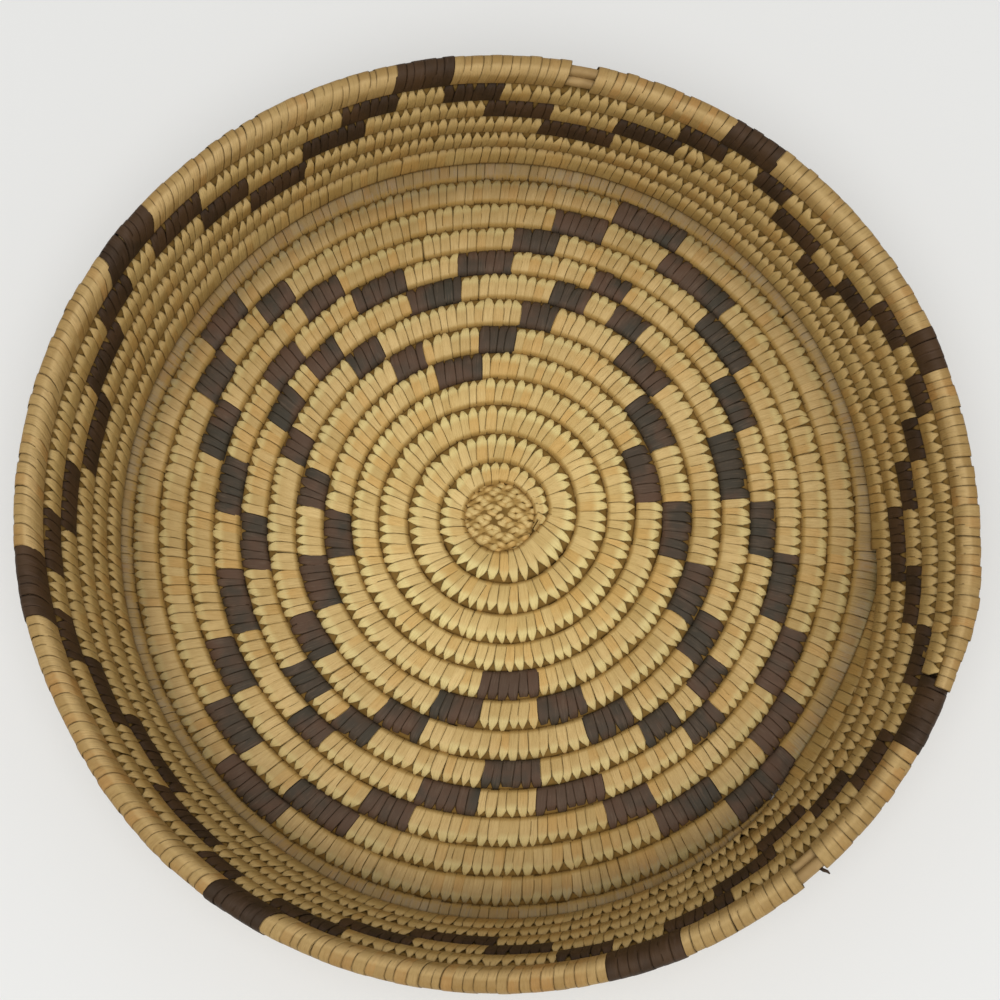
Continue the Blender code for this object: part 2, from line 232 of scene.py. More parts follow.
WALL_BLOCKS = {
    1: ((0, 0.6),),
    2: ((351.3, 360), (0.4, 7.3), (34, 40.3), (72.7, 83.3), (119, 128.7), (163, 174),
        (209, 221), (258.7, 269.3), (308.3, 316.3)),
    3: ((7.5, 13.5), (27.3, 34.7), (40, 48), (64, 73.7), (82, 91.3), (109.3, 119), (127.3, 135),
        (154, 163), (172.5, 182), (200, 209), (219, 229), (249, 259), (269, 277), (300, 309),
        (316.7, 323.3), (345, 352.5)),
    4: ((13.7, 19.3), (23, 28.7), (47, 53.3), (58, 65), (89.3, 97.7), (103.7, 111), (133.7, 142),
        (147.3, 154), (179.5, 187.3), (192.7, 199.5), (228.3, 235), (240.3, 249.7),
        (277.3, 285.3), (292.7, 301.3), (323.3, 331.3), (338, 346)),
    5: ((18.7, 24), (52.3, 58.7), (96.5, 103.7), (139.7, 147.7), (184.5, 192.3), (233.3, 240.3),
        (284.3, 293), (331, 339)),
}
WORN_PLACES = ((77.2, 80.9), (309.6, 313.8))

# How colours change outwards from the knot, darker with wear and with painted shade at the
# wall's foot: decimetres, and a share of red, green and blue
BASE_WEAR_AND_SHADE = (
    (0.1, (0.93, 0.91, 0.89)), (0.3, (0.95, 0.92, 0.89)), (0.5, (0.84, 0.80, 0.79)),
    (0.72, (0.78, 0.73, 0.71)), (0.8, (0.70, 0.66, 0.64)), (0.87, (0.64, 0.59, 0.57)),
    (0.92, (0.42, 0.38, 0.355)),
)
WALL_WEAR = ((0.9, (0.8, 0.8, 0.8)), (1.05, (0.8, 0.8, 0.8)))
THREAD_COLOUR = (0.36, 0.33, 0.27)
THREADS_FROM = (0.0885, 0.0915)  # loose fibres begin between these distances, in metres
CORE_COLOURS = ((0.16, 0.088, 0.018), (0.25, 0.145, 0.034))
ROD_COLOURS = ((0.32, 0.20, 0.075), (0.44, 0.29, 0.12))

# Stage
FLOOR_SIZE = 2.5
FLOOR_COLOUR = (0.83, 0.832, 0.818, 1.0)
FLOOR_ROUGHNESS = 0.9
SKY_COLOUR = (1.0, 1.0, 1.0, 1.0)
SKY_STRENGTH = 0.49
LAMP_PLACE = (0.02, -0.33, 1.2)
LAMP_SIZE = 1.2
LAMP_POWER = 10.4

scene = bpy.context.scene
chance = np.random.default_rng(31)


def take_the_view():
    """The photograph's view, from above and a little in front."""
    lens = bpy.data.cameras.new("view")
    lens.sensor_width = SENSOR_WIDTH
    lens.lens = SENSOR_WIDTH * FOCAL_PIXELS / IMAGE_SIZE
    camera = bpy.data.objects.new("view", lens)
    camera.location = Vector(CAMERA_PLACE) * MM
    camera.rotation_euler = Euler([math.radians(angle) for angle in CAMERA_TURN])
    scene.collection.objects.link(camera)
    scene.camera = camera
    bpy.context.view_layer.update()


def seen_angle(points, middle):
    """The angle at which the camera sees points round a middle, in degrees."""
    to_camera = np.array(scene.camera.matrix_world.inverted())
    seen = (points * MM) @ to_camera[:3, :3].T + to_camera[:3, 3]
    right = IMAGE_SIZE / 2 - FOCAL_PIXELS * seen[:, 0] / seen[:, 2] - middle[0]
    down = IMAGE_SIZE / 2 + FOCAL_PIXELS * seen[:, 1] / seen[:, 2] - middle[1]
    return np.degrees(np.arctan2(-down, right)) % 360


def smooth_step(x):
    x = np.clip(x, 0.0, 1.0)
    return x * x * (3 - 2 * x)


def polar(radius, angle, height):
    """Points round the knot."""
    east = KNOT[0] + radius * np.cos(angle)
    north = KNOT[1] + radius * np.sin(angle)
    return np.stack((east, north, np.broadcast_to(height, np.shape(angle))), -1)


def charted(chart, turn):
    """A value between those of a chart, which are given turn by turn."""
    spots, values = zip(*chart)
    return np.interp(turn, spots, values)


def base_groove(turn):
    """Radius of the groove outside the base coil, or of the knot where no coil lies yet."""
    angle = FULL_TURN * np.asarray(turn)
    spiral = (GROOVE_INNER + PITCH * turn + charted(GROOVE_SHIFTS, turn)
              + charted(GROOVE_EAST, turn) * np.cos(angle)
              + charted(GROOVE_NORTH, turn) * np.sin(angle))
    knot = KNOT_RADIUS - KNOT_SOUTH * np.sin(angle)
    return knot + (spiral - knot) * smooth_step((turn - BASE_FIRST) / BASE_JOIN_TURNS)


def base_centre(turn):
    return polar((base_groove(turn) + base_groove(turn - 1)) / 2, FULL_TURN * turn, BASE_Z)


def base_support(turn):
    """The middle of the row, or the place in the knot, that a base stitch bites into."""
    return polar(base_groove(turn - 1) - COIL_RADIUS, FULL_TURN * turn, BASE_Z)


def base_ending(turn):
    return smooth_step((turn - BASE_END + END_TURNS) / END_TURNS)


def base_scale(turn):
    """The base coil's width at a turn, as a share of the pitch."""
    wide = np.maximum((base_groove(turn) - base_groove(turn - 1)) / PITCH, 0.2)
    return wide * (1 - END_THINNER * base_ending(turn))


def base_path(turn):
    """The middle of the base coil, which lies closer in where its end is thinned."""
    centre = base_centre(turn)
    drawn_in = END_THINNER / 2 * base_ending(turn)
    return centre + (base_support(turn) - centre) * drawn_in[..., None]


def wall_row_level(turn):
    """The wall coil's row at a turn, which rises by one in each climb."""
    row = np.floor(turn + CLIMB_LEAD)
    return row + smooth_step((turn + CLIMB_LEAD - row) / CLIMB_TURNS)


def rim_scale(turn):
    """The rim grows thinner towards its end, which lies in a point on the rim's beginning."""
    thin = smooth_step((turn - RIM_END + RIM_THIN_TURNS) / RIM_THIN_TURNS)
    point = smooth_step((turn - RIM_END + RIM_POINT_TURNS) / RIM_POINT_TURNS)
    return 1 - (1 - RIM_THIN_SCALE) * thin - (RIM_THIN_SCALE - RIM_POINT_SCALE) * point


def wall_level(turn):
    """The wall coil's row at a turn, with a thinner coil lying lower."""
    return wall_row_level(turn) - (1 - rim_scale(turn)) * RIM_SINK


def ring_radius(ring, angle):
    mean, cos1, sin1, cos2, sin2 = ring
    return (mean + cos1 * np.cos(angle) + sin1 * np.sin(angle) + cos2 * np.cos(2 * angle)
            + sin2 * np.sin(2 * angle))


def ring_centre(angle, level):
    """The middle of a coil that goes round the wall at a level."""
    up = (level - 1) / WALL_ROWS
    where, wide, deep = RIM_DENT
    off = (np.degrees(angle) - where + 180) % 360 - 180
    dent = deep * np.exp(-(off / wide) ** 2)
    radius = ring_radius(FOOT_RING, angle) * (1 - up) + (ring_radius(RIM_RING, angle) - dent) * up
    return polar(radius, angle, FOOT_Z + (RIM_Z - FOOT_Z) * up)


def wall_centre(turn):
    """The middle of the wall coil, from beside the base up to the rim."""
    level = wall_level(turn)
    above = ring_centre(-FULL_TURN * turn, np.maximum(level, 1.0))
    beside = base_centre(WALL_START - turn)
    share = np.clip(level, 0.0, 1.0)[..., None]
    points = beside + (above - beside) * share ** CLIMB_POWER
    points[..., 2] = beside[..., 2] + (above[..., 2] - beside[..., 2]) * share[..., 0]
    return points


def wall_beginning(turn):
    return 1 - smooth_step(turn / END_TURNS)


def wall_path(turn):
    """The middle of the wall coil, which lies closer in where its beginning is thinned."""
    centre = wall_centre(turn)
    drawn_in = END_THINNER / 2 * wall_beginning(turn)
    return centre + (wall_support(turn) - centre) * drawn_in[..., None]


def wall_support(turn):
    """What a wall stitch bites into: the row below, or the base for the first row."""
    share = smooth_step((turn - MOUNT_TURN) / MOUNT_TURNS)[..., None]
    inside = base_centre(WALL_START - 1 - turn)
    under = base_centre(WALL_START - turn)
    first = inside + (under - inside) * share
    second = ring_centre(-FULL_TURN * turn, wall_level(turn) - 1)
    settled = wall_centre(np.maximum(turn - 1, 0.0))
    later = np.where((turn < SETTLED_TURN)[..., None], second, settled)
    return np.where((turn < SECOND_ROW_TURN)[..., None], first, later)


def even_turns(centre, first, last, step):
    """Turns and widths of the stitches along a coil, spaced by eye and not quite evenly."""
    fine = np.linspace(first, last, FINE_STEPS)
    spans = np.linalg.norm(np.diff(centre(fine), axis=0), axis=1)
    length = np.concatenate(((0.0,), np.cumsum(spans)))
    spots = np.arange(step / 2, length[-1], step)
    off = np.clip(chance.standard_normal(len(spots) - 2), -SPACING_MOST, SPACING_MOST)
    spots[1:-1] += SPACING_SPREAD * step * off
    return np.interp(spots, length, fine), np.gradient(spots)


def loop_template():
    """One splint's loop with a flat section, from a ring spun round."""
    work = bmesh.new()
    place = Matrix.Translation((1, 0, 0)) @ Matrix.Rotation(math.pi / 2, 4, "X")
    bmesh.ops.create_circle(work, segments=4, radius=0.3,
                            matrix=place @ Matrix.Rotation(math.pi / 4, 4, "Z"))
    bmesh.ops.spin(work, geom=work.verts[:] + work.edges[:], cent=(0, 0, 0), axis=(0, 0, 1),
                   angle=FULL_TURN, steps=len(LOOP), use_merge=True)
    bmesh.ops.recalc_face_normals(work, faces=work.faces)
    for face in work.faces:
        face.smooth = True
    mesh = bpy.data.meshes.new("splint_loop")
    work.to_mesh(mesh)
    work.free()
    return mesh


def repeated(name, template, count):
    """One mesh of many copies of a template."""
    work = bmesh.new()
    for _ in range(count):
        work.from_mesh(template)
    mesh = bpy.data.meshes.new(name)
    work.to_mesh(mesh)
    work.free()
    return mesh


def mark(mesh, marks):
    """Keeps values on a mesh's points for its finish to read."""
    for key, values in marks.items():
        kind, field = ("FLOAT_VECTOR", "vector") if key == "fibre" else ("FLOAT", "value")
        values = np.asarray(values, np.float32).reshape(-1)
        mesh.attributes.new(key, kind, "POINT").data.foreach_set(field, values)


def new_piece(name, mesh, finish, nodes=()):
    """A piece of the scene that rides on the tray and stands for the named nodes."""
    piece = bpy.data.objects.new(name, mesh)
    scene.collection.objects.link(piece)
    mesh.materials.clear()
    mesh.materials.append(finish)
    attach(piece, "root")
    if nodes:
        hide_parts(*nodes)
    return piece


class Row:
    """Stitches along a run of coil, as arrays with one line for each stitch."""

    def __init__(self, turns, centre, support, scale, thickness, slant, bite, step, inwards=0.0):
        self.turns = turns
        self.own = centre(turns)
        below = support(turns)
        ahead = centre(turns + AHEAD) - self.own
        ahead[:, 2] = 0.0
        ahead /= np.linalg.norm(ahead, axis=1)[:, None]
        outward = self.own - np.array((*KNOT, 0.0))
        turning = np.sign(outward[:, 0] * ahead[:, 1] - outward[:, 1] * ahead[:, 0])
        self.along = ahead * turning[:, None]
        rise = self.own - below
        rise -= self.along * np.sum(rise * self.along, axis=1)[:, None]
        self.reach = np.linalg.norm(rise, axis=1)
        self.rise = rise / self.reach[:, None]
        self.face = np.cross(self.rise, self.along)
        self.own = self.own + self.face * inwards
        self.scale = np.broadcast_to(scale, turns.shape)
        self.slant = slant[0] + slant[1] * outward[:, 0] / np.linalg.norm(outward[:, :2], axis=1)
        self.thickness = np.broadcast_to(thickness, turns.shape)
        self.bite = np.broadcast_to(bite, turns.shape)
        self.step = np.broadcast_to(step, turns.shape)
        self.middle = self.own + self.face * SEEN_HEIGHT * self.scale[:, None]

    def only(self, mask):
        """The same row with some of its stitches."""
        some = object.__new__(Row)
        for key, value in self.__dict__.items():
            setattr(some, key, value[mask])
        return some


class Loop:
    """The template of a stitch, and what LOOP says of each of its points, as arrays."""

    def __init__(self):
        self.mesh = loop_template()
        size = len(self.mesh.vertices)
        shape = np.empty(size * 3)
        self.mesh.vertices.foreach_get("co", shape)
        shape = shape.reshape(size, 3)
        turned = np.arctan2(shape[:, 1], shape[:, 0]) / FULL_TURN
        spot = np.rint(turned * len(LOOP)).astype(int) % len(LOOP)
        path = np.array(LOOP)
        heading = np.roll(path[:, :2], -1, axis=0) - np.roll(path[:, :2], 1, axis=0)
        heading /= np.linalg.norm(heading, axis=1)[:, None]
        spans = np.linalg.norm(np.diff(path[:, :2], axis=0), axis=1)
        self.is_top = np.hypot(shape[:, 0], shape[:, 1]) > 1.0
        self.side = np.sign(shape[:, 2])
        self.length = np.concatenate(((0.0,), np.cumsum(spans)))[spot]
        self.out_rise, self.out_face = -heading[spot, 1], heading[spot, 0]
        self.away, self.inward, self.share, self.below, self.dirt, self.paler = path[spot].T


def varied(spread, count):
    """A chance difference for each stitch."""
    return spread * chance.standard_normal((count, 1))


def sew(name, loop, row, finish, slot, nodes=(), crown=CROWN, pinch=1.0, rounded=0.0):
    """One mesh of all the stitches of a row, each a little different. The row above pinches
    their outer ends."""
    count = len(row.turns)
    away, inward, below = loop.away, loop.inward, loop.below
    wide = row.step[:, None] / 2 * (STITCH_OVERLAP + varied(WIDTH_SPREAD, count))
    plump = varied(PLUMP_SPREAD, count)
    shove = varied(SHOVE_SPREAD, count)
    lean = row.slant[:, None] + varied(LEAN_SPREAD, count)
    bite = row.bite[:, None] + varied(BITE_SPREAD, count)
    tug = varied(TUG_SPREAD, count) * (away > TUG_FROM)
    bend = varied(BEND_SPREAD, count) * np.clip(away - BEND_FROM, 0.0, BEND_LENGTH)
    tip = 1 + (loop.share - 1) * np.clip(1 + varied(TIP_SPREAD, count), *TIP_LIMITS) * pinch
    share = np.where(away > 0, tip, loop.share)

    scale = row.scale[:, None]
    bitten = away + PITCH - row.reach[:, None] - bite * (below > 0.9)
    up = away * scale * (1 - below) + bitten * below + tug
    out = inward * (scale * (1 - below) + below) + plump * (1 - below) * np.sign(inward)
    out = out * row.thickness[:, None] * (1 - rounded * (np.maximum(away, 0.0) / COIL_RADIUS) ** 2)
    across = loop.side * np.where(loop.is_top, CROWN_FLAT, 1.0) * share * wide
    tapered = np.clip(away / TAPER_LENGTH, 0.0, 1.0) * pinch
    depth = np.where(loop.is_top, 0.0, -crown * (0.5 + 2.0 * tapered)) - SINK
    up = up + depth * loop.out_rise
    out = out + depth * loop.out_face
    along = across + shove * (1 - 0.5 * below) + lean * up + bend * pinch
    points = (row.own[:, None, :] + up[..., None] * row.rise[:, None, :]
              + out[..., None] * row.face[:, None, :] + along[..., None] * row.along[:, None, :])
    points[..., 2] = np.maximum(points[..., 2], LOWEST)

    mesh = repeated(name, loop.mesh, count)
    mesh.vertices.foreach_set("co", (points * MM).reshape(-1))
    ones = np.ones(across.shape)
    seed = chance.random((count, 1)) * SEED_RANGE
    mark(mesh, {
        "fibre": np.stack((across, loop.length * ones, seed * ones), -1),
        "tone": chance.random((count, 1)) * ones,
        "warm": chance.random((count, 1)) * ones,
        # Dirt and painted shade from the loop, with painted shade on the splint's edges that grows
        # towards its tip
        "soil": (loop.dirt + ~loop.is_top * (0.1 + 0.3 * tapered)) * ones,
        "pale": loop.paler * ones,
    })
    mesh.update()
    return new_piece(name, mesh, finish, nodes)


def tube(name, points, radii, finish, nodes=(), section=(1.0, 1.0)):
    """A rod or core along points, closed at its ends. section is half its width and its height."""
    outline = bpy.data.curves.new(name + "_section", "CURVE")
    ring = outline.splines.new("POLY")
    ring.points.add(TUBE_SIDES - 1)
    ring.use_cyclic_u = True
    for k, spot in enumerate(ring.points):
        angle = math.radians(360 / TUBE_SIDES * (k + 0.5))
        east, north = (math.copysign(abs(part) ** TUBE_SQUARENESS, part)
                       for part in (math.cos(angle), math.sin(angle)))
        spot.co = (MM * section[0] * east, MM * section[1] * north, 0.0, 1.0)
    profile = bpy.data.objects.new(name + "_section", outline)
    data = bpy.data.curves.new(name, "CURVE")
    data.dimensions = "3D"
    data.twist_mode = "Z_UP"
    data.bevel_mode = "OBJECT"
    data.bevel_object = profile
    data.use_fill_caps = True
    line = data.splines.new("POLY")
    line.points.add(len(points) - 1)
    for spot, point, radius in zip(line.points, points, radii):
        spot.co = (*(point * MM), 1.0)
        spot.radius = radius
    drawn = bpy.data.objects.new(name + "_line", data)
    for thing in (profile, drawn):
        scene.collection.objects.link(thing)
    bpy.context.view_layer.update()
    depsgraph = bpy.context.evaluated_depsgraph_get()
    mesh = bpy.data.meshes.new_from_object(drawn.evaluated_get(depsgraph))
    for thing in (profile, drawn):
        bpy.data.objects.remove(thing)
    work = bmesh.new()
    work.from_mesh(mesh)
    bmesh.ops.remove_doubles(work, verts=work.verts, dist=1e-7)
    bmesh.ops.recalc_face_normals(work, faces=work.faces)
    for face in work.faces:
        face.smooth = len(face.verts) == 4
    work.to_mesh(mesh)
    work.free()
    return new_piece(name, mesh, finish, nodes)


class Signal:
    """A shader socket that arithmetic can be written on."""

    def __init__(self, finish, socket):
        self.finish = finish
        self.socket = socket

    def math(self, operation, *terms):
        return self.finish.add("ShaderNodeMath", {"operation": operation}, dict(enumerate(terms)))

    def __add__(self, other):
        return self.math("ADD", self, other)

    __radd__ = __add__

    def __sub__(self, other):
        return self.math("SUBTRACT", self, other)

    def __rsub__(self, other):
        return self.math("SUBTRACT", other, self)

    def __mul__(self, other):
        return self.math("MULTIPLY", self, other)

    __rmul__ = __mul__


class Finish:
    """A material with its Principled shader, built up node by node."""

    def __init__(self, name, **constants):
        self.material = bpy.data.materials.new(name)
        self.material.use_nodes = True
        self.tree = self.material.node_tree
        self.shader = self.tree.nodes["Principled BSDF"]
        for key, value in constants.items():
            self.shader.inputs[key.replace("_", " ")].default_value = value

    def feed(self, socket, value):
        """Links a signal to a socket, or sets a plain value on it."""
        if isinstance(value, Signal):
            self.tree.links.new(value.socket, socket)
        else:
            socket.default_value = value

    def add(self, kind, settings, sockets, out=0):
        """A node of any type, with its settings first and then its sockets."""
        node = self.tree.nodes.new(kind)
        for key, value in settings.items():
            if key == "stops":
                ramp = node.color_ramp.elements
                while len(ramp) < len(value):
                    ramp.new(0.5)
                for stop, (place, colour) in zip(ramp, value):
                    stop.position = place
                    stop.color = (*colour, 1.0)
            else:
                setattr(node, key, value)
        for key, value in sockets.items():
            self.feed(node.inputs[key], value)
        return Signal(self, node.outputs[out])

    def attribute(self, name, out="Fac"):
        return self.add("ShaderNodeAttribute", {"attribute_name": name}, {}, out)

    def place(self):
        return self.add("ShaderNodeTexCoord", {}, {}, "Object")

    def noise(self, vector, scale, detail=3.0, roughness=0.5):
        sockets = {"Vector": vector, "Scale": scale, "Detail": detail, "Roughness": roughness}
        return self.add("ShaderNodeTexNoise", {}, sockets)

    def stretched(self, vector, factors):
        return self.add("ShaderNodeVectorMath", {"operation": "MULTIPLY"}, {0: vector, 1: factors})

    def along_the_splint(self, fibre):
        """Fine streaks that run the length of each splint."""
        return self.noise(self.stretched(fibre, (3.2, 0.22, 1.0)), 1.0, 4.0, 0.6)

    def aside(self, fibre):
        """How far to either side of its splint's middle a point lies, in millimetres."""
        parts = self.add("ShaderNodeSeparateXYZ", {}, {0: fibre}, "X")
        return self.add("ShaderNodeMath", {"operation": "ABSOLUTE"}, {0: parts})

    def outwards(self, place):
        """How far from the knot's axis a point lies, in metres."""
        flat = self.stretched(place, (1.0, 1.0, 0.0))
        return self.add("ShaderNodeVectorMath", {"operation": "LENGTH"}, {0: flat}, "Value")

    def step(self, value, low, high):
        return self.add("ShaderNodeMapRange", {"interpolation_type": "SMOOTHSTEP"},
                        {"Value": value, "From Min": low, "From Max": high})

    def mixed(self, share, first, second, blend="MIX"):
        def colour(value):
            return (*value, 1.0) if isinstance(value, tuple) else value
        return self.add("ShaderNodeMix", {"data_type": "RGBA", "blend_type": blend},
                        {0: share, 6: colour(first), 7: colour(second)}, 2)

    def done(self, colour, roughness, height, bump):
        self.feed(self.shader.inputs["Base Color"], colour)
        self.feed(self.shader.inputs["Roughness"], roughness)
        sockets = {"Height": height, "Strength": 1.0, "Distance": bump * MM}
        normal = self.add("ShaderNodeBump", {}, sockets)
        self.feed(self.shader.inputs["Normal"], normal)
        return self.material


def light_splint(name, pale, deep, golden, dirt, wear_and_painted_light, threads=0.0):
    """Peeled splints: straw to honey, with fine fibres along each one, and dirt and painted shade
    in the grooves and along the edges. The colour table darkens them outwards from the knot: on
    the base partly with wear and partly with painted shade at the foot of the wall."""
    look = Finish(name, Specular_IOR_Level=0.3)
    fibre = look.attribute("fibre", "Vector")
    tone = look.attribute("tone")
    soil = look.attribute("soil")
    paler = look.attribute("pale")
    place = look.place()
    away = look.outwards(place)
    streaks = look.along_the_splint(fibre)
    patches = look.noise(place, 34.0, 3.0)
    blotches = look.noise(place, 210.0, 4.0, 0.6)
    share = tone * 0.55 + look.step(patches, 0.38, 0.66) * 0.45
    colour = look.mixed(share, pale, deep)
    warm = look.step(look.attribute("warm") * 0.5 + patches * 0.5 + blotches * 0.3, 0.68, 0.92)
    colour = look.mixed(warm * 0.6, colour, golden)
    bright = tuple(min(c * 1.3 + 0.05, 1.0) for c in pale)
    rubbed_bright = look.step(paler * 0.8 + streaks * 0.9 + tone * 0.3, 0.95, 1.55)
    colour = look.mixed(rubbed_bright * 0.75, colour, bright)
    colour = look.mixed(look.step(streaks, 0.35, 0.75) * 0.35, colour, dirt)
    # On the base, darker and greyer outwards: partly wear, partly painted shade at the foot of the wall
    wear_and_shade = look.add("ShaderNodeValToRGB", {"stops": wear_and_painted_light}, {0: away * 10})
    colour = look.mixed(1.0, colour, wear_and_shade, "MULTIPLY")
    # Painted shade along the edges of each splint, in blotches
    edge_shade = look.step(look.aside(fibre), 0.75, 1.2) * look.step(blotches, 0.3, 0.7)
    # Blotchy dirt, with the painted shade of the grooves and edges from the points' marks
    grime_and_shade = look.step(soil + blotches * 0.5 - 0.25, 0.12, 1.0)
    colour = look.mixed(grime_and_shade * 0.85 + edge_shade * 0.1, colour, dirt)
    if threads:
        loose = look.step(streaks * 0.6 + blotches * 0.5, 0.52, 0.66)
        colour = look.mixed(loose * look.step(away, *THREADS_FROM) * threads, colour, THREAD_COLOUR)
    rough = 0.45 + streaks * 0.2 + grime_and_shade * 0.2
    return look.done(colour, rough, streaks, 0.22)


def dark_splint(name, black, brown, wear_and_painted_light):
    """Splints of dark bark: nearly black, browner in places, paler and greyer in streaks that are
    partly rubbed wear and partly a painted sheen.
    """
    look = Finish(name, Specular_IOR_Level=0.2)
    fibre = look.attribute("fibre", "Vector")
    tone = look.attribute("tone")
    place = look.place()
    streaks = look.along_the_splint(fibre)
    patches = look.noise(place, 85.0, 3.0)
    colour = look.mixed(tone * 0.3 + look.step(patches, 0.4, 0.6) * 0.7, black, brown)
    # Paler greyish streaks: partly rubbed wear, partly a painted sheen
    paler = look.step(streaks + look.noise(place, 300.0, 3.0) * 0.5, 0.72, 1.0)
    colour = look.mixed(paler * 0.35, colour, wear_and_painted_light)
    rough = 0.5 + streaks * 0.25
    return look.done(colour, rough, streaks, 0.12)


def core_finish():
    """Bruised rods under the stitches, brown in the grooves."""
    look = Finish("coil_core", Specular_IOR_Level=0.2)
    place = look.place()
    grain = look.noise(place, 260.0, 4.0)
    colour = look.mixed(look.step(grain, 0.3, 0.7), *CORE_COLOURS)
    return look.done(colour, 0.75 + grain * 0.1, grain, 0.15)


def rod_finish():
    """The rim's peeled rods, where the sewing is worn away."""
    look = Finish("peeled_rod", Specular_IOR_Level=0.3)
    place = look.place()
    grain = look.noise(place, 180.0, 4.0)
    colour = look.mixed(look.step(grain, 0.35, 0.7), *ROD_COLOURS)
    return look.done(colour, 0.55 + grain * 0.2, grain, 0.1)


def is_dark(row, blocks, middle, sense, number=None):
    """Which stitches of a row are dark, by the row's number and the angle the camera sees."""
    angle = seen_angle(row.middle, middle)
    lap = sense * angle / 360
    if number is None:
        number = np.floor(lap + np.round(row.turns - lap)) + (sense > 0)
    dark = np.zeros(len(angle), bool)
    for key, spans in blocks.items():
        for first, last in spans:
            dark |= (number == key) & ((angle - first) % 360 < last - first)
    return dark


def knot_heart(finish):
    """The domed bunch of ends under the knot's splints."""
    work = bmesh.new()
    bmesh.ops.create_uvsphere(work, u_segments=40, v_segments=20, radius=1.0)
    bmesh.ops.scale(work, vec=[half * MM for half in KNOT_HEART], verts=work.verts)
    middle = Vector((KNOT[0], KNOT[1] - KNOT_SOUTH, KNOT_HEART_Z))
    bmesh.ops.translate(work, vec=middle * MM, verts=work.verts)
    for face in work.faces:
        face.smooth = True
    mesh = bpy.data.meshes.new("knot_heart")
    work.to_mesh(mesh)
    work.free()
    return new_piece("knot_heart", mesh, finish, ("start_knot",))


def knot_bar():
    """A bar, two long, wide and thick, with enough cuts to be bent."""
    bar = bmesh.new()
    bmesh.ops.create_cube(bar, size=2.0)
    for axis, cuts in ((0, 26), (1, 3)):
        edges = [e for e in bar.edges if abs(e.verts[0].co[axis] - e.verts[1].co[axis]) > 1]
        bmesh.ops.subdivide_edges(bar, edges=edges, cuts=cuts, use_grid_fill=True)
    return bar


def knot_splint(whole, marks, upper, turned, k):
    """One splint of the knot, bent over and under those of the other set."""
    middle = np.array((KNOT[0], KNOT[1] - KNOT_SOUTH))
    crossing = math.radians(KNOT_HEADINGS[1] - KNOT_HEADINGS[0])
    sense = 1 - 2 * turned
    heading = math.radians(KNOT_HEADINGS[turned] + chance.normal(0, KNOT_HEADING_SPREAD))
    forward = np.array((math.cos(heading), math.sin(heading)))
    sideways = np.array((-forward[1], forward[0]))
    offset = k * KNOT_STEP + chance.normal(0, KNOT_STEP_SPREAD)
    half = math.sqrt(max(KNOT_RADIUS ** 2 - offset ** 2, 1.0)) - KNOT_SPLINT_SHORT
    tone, warm, seed = chance.random(3)
    bar = knot_bar()
    for vert in bar.verts:
        s, t, top = vert.co
        run = s * half
        crossed = sense * run * math.sin(crossing) + offset * math.cos(crossing)
        over = sense * math.cos(math.pi * (crossed / KNOT_STEP + k))
        spot = middle + forward * run + sideways * (offset + t * KNOT_STEP * KNOT_SPLINT_HALF)
        far = np.hypot(*(spot - middle)) / (KNOT_RADIUS + KNOT_DOME_EDGE)
        dome = KNOT_DOME * max(1 - far ** 4, 0.0) ** 0.5
        height = dome + KNOT_WEAVE * over - KNOT_CROWN * t * t
        height += KNOT_SPLINT_TOP if top > 0 else KNOT_SPLINT_FOOT
        vert.co = Vector((*spot, BASE_Z - KNOT_SINK + (height if upper else -height))) * MM
        marks["fibre"].append((t, run, seed * SEED_RANGE))
        marks["tone"].append(tone)
        marks["warm"].append(warm)
        # Painted shade where the splint dips under the other set, and along its edges
        marks["soil"].append(0.62 - 0.6 * over + 0.3 * t * t)
        marks["pale"].append(0.5 * over)
    bmesh.ops.recalc_face_normals(bar, faces=bar.faces)
    for face in bar.faces:
        face.smooth = True
    part = bpy.data.meshes.new("bar")
    bar.to_mesh(part)
    bar.free()
    whole.from_mesh(part)


def knot_splints(finish):
    """The knot's splints, in two sets that cross over and under each other on both sides."""
    whole = bmesh.new()
    marks = {key: [] for key in ("fibre", "tone", "warm", "soil", "pale")}
    for upper in (True, False):
        for turned in (0, 1):
            for k in range(-KNOT_SPLINTS_EACH_SIDE, KNOT_SPLINTS_EACH_SIDE + 1):
                knot_splint(whole, marks, upper, turned, k)
    mesh = bpy.data.meshes.new("knot_splints")
    whole.to_mesh(mesh)
    whole.free()
    mark(mesh, marks)
    return new_piece("knot_splints", mesh, finish)


def sew_the_base(loop, light, dark):
    turns, widths = even_turns(base_path, BASE_FIRST + FIRST_BASE_STITCH, BASE_END, STITCH_STEP)
    scale = base_scale(turns)
    thickness = BASE_THICKNESS * (0.35 + 0.65 * scale) / scale
    base = Row(turns, base_path, base_support, scale, thickness, BASE_SLANT, 0.0, widths)
    black = is_dark(base, BASE_BLOCKS, BASE_SEEN_FROM, 1)
    pinch = np.where(turns > BASE_END - 1, LAST_BASE_PINCH, BASE_PINCH)
    sew("base_light_stitches", loop, base.only(~black), light, "light_splint", ("base_coil",),
        pinch=pinch[~black, None])
    sew("base_dark_stitches", loop, base.only(black), dark, "dark_splint", **DARK_SEWING)


